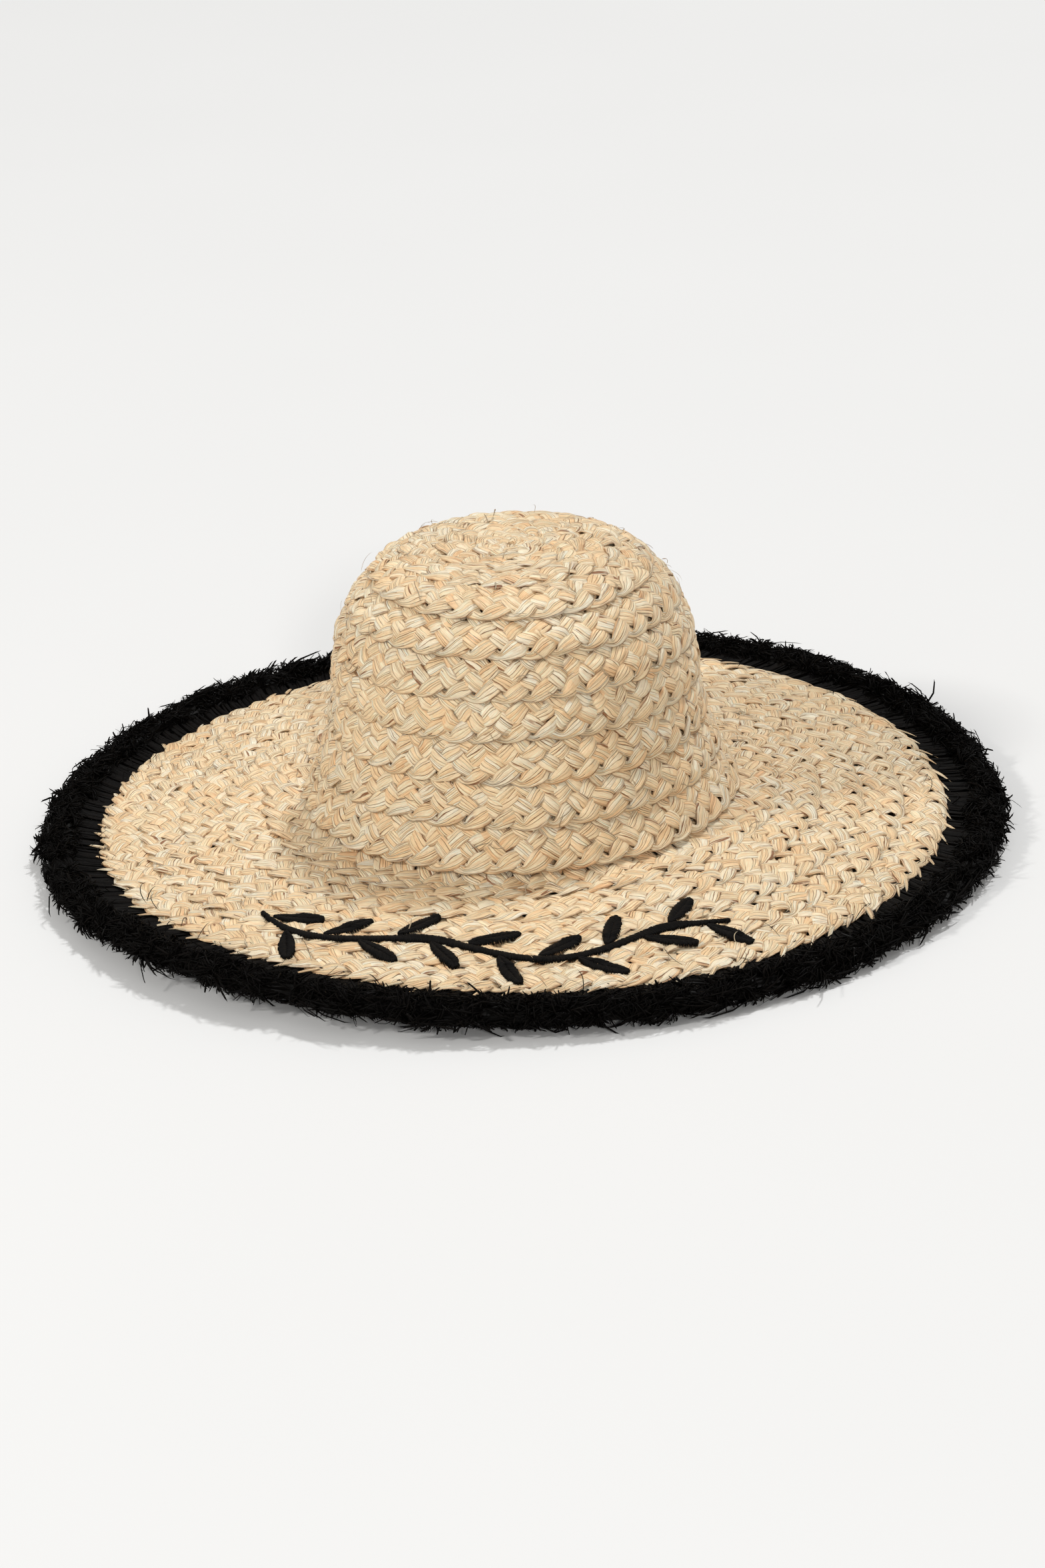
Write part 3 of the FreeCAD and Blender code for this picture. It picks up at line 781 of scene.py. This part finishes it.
def woven(name, colour, slant, scale):
    """Woven cotton: two sets of yarns, with twill's diagonal when slant is 1."""
    finish = Finish(name, Specular_IOR_Level=0.2, Sheen_Weight=0.15)
    split = finish.node("SeparateXYZ", {0: finish.node("UVMap", uv_map="strand")})
    across = Value(finish, split.socket.node.outputs[1])
    rib = ((split + across * slant) * scale).math("SINE") * 0.5 + 0.5
    yarn = (across * (scale * 2.3)).math("SINE") * 0.5 + 0.5
    slub = finish.noise(split * 300, across * 1400, 2.0)
    soil = finish.noise(split * 30, across * 60, 2.0)
    shade = rib * 0.12 + yarn * 0.06 + slub * 0.14 + soil * 0.12 + 0.66
    finish.set(finish.shader.inputs["Base Color"], finish.mix(1.0, (*colour, 1), shade, "MULTIPLY"))
    finish.set(finish.shader.inputs["Roughness"], slub * 0.1 + 0.8)
    weave = rib + yarn * 0.5 + slub * 0.4
    finish.set(finish.shader.inputs["Normal"],
               finish.node("Bump", {"Height": weave, "Strength": 0.5, "Distance": 0.00015}))
    return finish.material


band = cloth_strip("sweatband_cloth", math.pi / 2 - 0.04, math.pi / 2 + 2 * math.pi - 0.12, band_columns,
                   band_top, band_bottom, band_depth, band_thickness, 0.00012)
settle(band, woven("cotton twill", (0.86, 0.80, 0.68), 1.0, 9000), "sweatband_cotton", "sweatband")
band_rows = [(length, band_depth + band_thickness + 0.0004)
             for length in (band_top + 0.003, band_bottom - 0.003)]
band_stitches = stitches("sweatband_stitches", band_rows, 0.0052, 0.0032, 0.0004, 14)
settle(band_stitches, ecru_thread, "ecru_thread", "sweatband_seam_thread")

# ---------------------------------------------------------------------------------------------
# SIZE TAG. A short piece of white woven tape at the back of the sweatband, left blank.
# ---------------------------------------------------------------------------------------------

tag_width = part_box("size_tag")[1][0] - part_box("size_tag")[0][0]
tag_height = 0.016
tag_middle = (band_top + band_bottom) / 2
tag_angle = tag_width / 2 / (on_outline(np.array(tag_middle))[0] - band_depth)
tag = cloth_strip("size_tag_tape", math.pi / 2 - tag_angle, math.pi / 2 + tag_angle, 24,
                  tag_middle - tag_height / 2, tag_middle + tag_height / 2,
                  band_depth + band_thickness + 0.0004, 0.0003, 0.00005)
settle(tag, woven("white tape", (0.90, 0.89, 0.86), 0.0, 12000), "tag_cotton", "size_tag")

# ---------------------------------------------------------------------------------------------
# EMBROIDERY. A running vine in black satin stitch on the front of the brim. Each shape is filled
# by threads laid side by side across it, over a padding that makes them stand up from the braid.
# ---------------------------------------------------------------------------------------------

vine_middle = math.radians(-96)
vine_span = math.radians(75)
vine_radius = 0.17
vine_swing = 0.007
vine_waves = 2
vine_half = 0.0021
leaf_count = 14
leaf_length = 0.023
leaf_half = 0.004
leaf_lean = math.radians(45)
leaf_gap = 0.0006
rib_overlap = 0.0002
stitch_pitch = 0.00042


def vine_point(share):
    """Points (x, y) of the stem and their unit sideways directions, at shares of its span."""
    ends = []
    for s in (share - 0.001, share + 0.001):
        angle = vine_middle + vine_span * (s - 0.5)
        radius = vine_radius + vine_swing * np.sin(2 * math.pi * vine_waves * s)
        ends.append(np.stack([radius * np.cos(angle), radius * np.sin(angle)], -1))
    along = ends[1] - ends[0]
    along /= np.linalg.norm(along, axis=-1, keepdims=True)
    return (ends[0] + ends[1]) / 2, np.stack([along[..., 1], -along[..., 0]], -1)


def brim_surface(flat):
    """Length along the outline, depth and angle of the brim's upper face under flat points."""
    radius = np.linalg.norm(flat, axis=-1)
    slope = (brim_edge[0] - crown_base[0]) / (brim_end - crown_end)
    length = brim_end - (brim_edge[0] - radius) / slope
    place = (length - crown_end) / brim_pitch
    within = place - np.floor(place)
    stepped = np.where(within > 0.12, 1 - within, 0.88 * within / 0.12)
    return length, tucks[-1] * stepped, np.arctan2(flat[..., 1], flat[..., 0])


def satin(name, starts, ends, pad, seed):
    """Threads laid from starts to ends, (thread, xy), arched over a padding."""
    random = np.random.default_rng(seed)
    way = ends - starts
    size = np.linalg.norm(way, axis=-1, keepdims=True)
    starts = starts - way / size * random.uniform(0, 0.0007, (len(starts), 1))
    ends = ends + way / size * random.uniform(0, 0.0009, (len(starts), 1))
    share = np.linspace(0, 1, 8)[None, :, None]
    flat = starts[:, None] + share * (ends - starts)[:, None]
    length, depth, angle = brim_surface(flat)
    arch = np.sin(math.pi * share[..., 0]) ** 0.6 * pad[:, None]
    depth = depth - 0.0008 - arch + np.where((share[..., 0] == 0) | (share[..., 0] == 1), 0.0016, 0)
    paths = on_hat(length, depth, angle)
    facing = on_hat(length, depth - 0.001, angle) - paths
    half = np.full(paths.shape[:2], 0.00036) * random.uniform(0.85, 1.2, (len(starts), 1))
    return tubes(name, paths, half, half * 0.8, 5, facing)


stem_share = np.arange(0, 1, stitch_pitch / (vine_radius * vine_span * 1.05))
stem_middle, stem_side = vine_point(stem_share)
stem_half = vine_half * np.minimum(1, np.minimum(0.35 + 5 * stem_share, 0.35 + 5 * (1 - stem_share)))[:, None]
stem_along = np.stack([-stem_side[:, 1], stem_side[:, 0]], -1)
stem = satin("embroidered_stem_satin", stem_middle - stem_half * (stem_side + 0.35 * stem_along),
             stem_middle + stem_half * (stem_side + 0.35 * stem_along), np.full(len(stem_share), 0.0010), 31)


def leaf_stitches(share, side):
    """Ends of the slanted threads of one leaf, from its midrib to its two edges."""
    middle, out = vine_point(np.array(share))
    base = middle + side * (vine_half + leaf_gap) * out
    turn = side * leaf_lean
    way = side * np.array([out[0] * math.cos(turn) - out[1] * math.sin(turn),
                           out[0] * math.sin(turn) + out[1] * math.cos(turn)])
    across = np.array([-way[1], way[0]])
    angle = np.linspace(0.06, math.pi - 0.05, round(leaf_length / stitch_pitch))
    along = leaf_length * (1 - np.cos(angle)) / 2
    wide = leaf_half * np.sin(angle) * np.sin(angle / 2) ** 0.3
    edge_along = along[:, None] * way
    rib_along = np.maximum(along - wide * 0.9, 0)[:, None] * way
    pairs = []
    for hand in (1, -1):
        rib = base + rib_along - hand * rib_overlap * across
        pairs.append((rib, base + edge_along + hand * wide[:, None] * across))
    return pairs


leaf_pairs = []
for i in range(leaf_count):
    leaf_pairs += leaf_stitches((i + 0.4) / leaf_count, 1 if i % 2 else -1)
leaf_starts = np.concatenate([pair[0] for pair in leaf_pairs])
leaf_ends = np.concatenate([pair[1] for pair in leaf_pairs])
leaves = satin("embroidered_leaves_satin", leaf_starts, leaf_ends, np.full(len(leaf_starts), 0.0008), 32)

satin_finish = Finish("black embroidery thread", Specular_IOR_Level=0.08)
satin_split = satin_finish.node("SeparateXYZ", {0: satin_finish.node("UVMap", uv_map="strand")})
satin_own = Value(satin_finish, satin_split.socket.node.outputs[1])
satin_twist = ((satin_split * 2600 + satin_own) * two_turns).math("SINE") * 0.5 + 0.5
satin_tone = satin_finish.chance(satin_own.math("FLOOR"), 2.0)
satin_colour = satin_finish.mix(satin_tone, (0.0018, 0.0015, 0.0013, 1), (0.0050, 0.0042, 0.0036, 1))
satin_finish.set(satin_finish.shader.inputs["Base Color"], satin_colour)
satin_finish.set(satin_finish.shader.inputs["Roughness"], satin_twist * 0.2 + 0.45)
satin_finish.set(satin_finish.shader.inputs["Normal"],
                 satin_finish.node("Bump", {"Height": satin_twist, "Strength": 0.4, "Distance": 0.0001}))
settle(stem, satin_finish.material, "embroidery_thread", "embroidered_stem")
settle(leaves, satin_finish.material, "embroidery_thread", "embroidered_leaves")

# ---------------------------------------------------------------------------------------------
# STRAY RAFFIA. Loose ends that work out of the plait as it is sewn: thin whiskers of natural leaf
# along the laps, and black ones that have come out of the fringe onto the brim.
# ---------------------------------------------------------------------------------------------


def whiskers(name, edges, count, shortest, longest, arch, seed):
    """Thin loose ends that leave the braid near one of the laps and curl away from it."""
    random = np.random.default_rng(seed)
    length = random.choice(edges, count) - random.uniform(0, 0.018, count)
    angle = random.uniform(-math.pi, math.pi, count)
    size = random.uniform(shortest, longest, count)
    share = np.linspace(0, 1, 7)[None, :]
    turn = random.uniform(0, 2 * math.pi, count)[:, None] + random.normal(0, 0.5, count)[:, None] * share
    reach = size[:, None] * share
    rise = size[:, None] * np.sin(math.pi * share * random.uniform(0.4, 0.9, (count, 1))) * arch
    radius = on_outline(length)[:, 0][:, None]
    length = np.minimum(length[:, None] + reach * np.cos(turn), edges[-1])
    depth = -0.0002 - rise
    paths = on_hat(length, depth, angle[:, None] + reach * np.sin(turn) / radius)
    wide = random.uniform(0.00010, 0.00028, (count, 1)) * np.array([1, 1, 1, 1, 0.9, 0.7, 0.4])
    facing = on_hat(length, depth - 0.001, angle[:, None] + reach * np.sin(turn) / radius) - paths
    return tubes(name, paths, wide, wide * 0.4, 4, facing)


loose_ends = whiskers("stray_raffia", course_edges[1:], 300, 0.004, 0.011, 0.28, 41)
settle(loose_ends, natural_raffia, "natural_raffia_braid")
loose_fringe = whiskers("stray_black_raffia", [brim_end + 0.009], 110, 0.006, 0.015, 0.4, 42)
settle(loose_fringe, black_raffia, "black_raffia_fringe")

# ---------------------------------------------------------------------------------------------
# TABLE, LIGHT AND CAMERA.
# ---------------------------------------------------------------------------------------------

bpy.ops.mesh.primitive_plane_add(size=60, location=(0, 0, 0))
floor = bpy.context.object
floor.name = "studio_floor"
floor_finish = Finish("pale studio floor", Roughness=0.6, Specular_IOR_Level=0.2)
floor_place = Value(floor_finish, floor_finish.node("TexCoord").socket.node.outputs["Object"])
floor_grain = floor_finish.node("TexNoise", {"Vector": floor_place, "Scale": 3.0})
floor_finish.set(floor_finish.shader.inputs["Base Color"],
                 floor_finish.mix(floor_grain, (0.765, 0.765, 0.76, 1), (0.785, 0.785, 0.78, 1)))
floor.data.materials.append(floor_finish.material)

world = bpy.data.worlds.new("studio")
world.use_nodes = True
world.node_tree.nodes["Background"].inputs["Color"].default_value = (1.0, 0.995, 0.985, 1)
world.node_tree.nodes["Background"].inputs["Strength"].default_value = 0.36
bpy.context.scene.world = world


def softbox(name, place, aim, width, height, power, colour=(1, 1, 1)):
    """Rectangular light at a place, turned to a point."""
    lamp = bpy.data.lights.new(name, "AREA")
    lamp.shape, lamp.size, lamp.size_y, lamp.energy, lamp.color = "RECTANGLE", width, height, power, colour
    holder = bpy.data.objects.new(name, lamp)
    holder.location = place
    holder.rotation_euler = (Vector(aim) - Vector(place)).to_track_quat("-Z", "Y").to_euler()
    bpy.context.collection.objects.link(holder)


softbox("key", (3.2, 5.0, 9.5), (0, 0, 0.05), 1.1, 1.1, 680)
softbox("left_fill", (-3.6, -1.8, 2.8), (0, 0, 0.05), 0.5, 0.5, 98, (1.0, 0.985, 0.96))
softbox("front_fill", (1.8, -12.0, 5.4), (0, 0, 0.05), 1.35, 1.35, 540, (1.0, 0.985, 0.965))

elevation = math.radians(23.3)
roll = math.radians(-2.6)
distance = 1.758
target = Vector((0.0008, 0, 0.0196))
forward = Vector((0, math.cos(elevation), -math.sin(elevation)))
level_up = Vector((0, math.sin(elevation), math.cos(elevation)))
level_right = Vector((1, 0, 0))
right = math.cos(roll) * level_right + math.sin(roll) * level_up
up = math.cos(roll) * level_up - math.sin(roll) * level_right
lens = bpy.data.cameras.new("camera")
lens.lens = 85
lens.sensor_width = 36
camera = bpy.data.objects.new("camera", lens)
turned = Matrix((right, up, -forward)).transposed().to_4x4()
camera.matrix_world = Matrix.Translation(target - forward * distance) @ turned
bpy.context.collection.objects.link(camera)
bpy.context.scene.camera = camera
bpy.context.scene.view_settings.view_transform = "Standard"
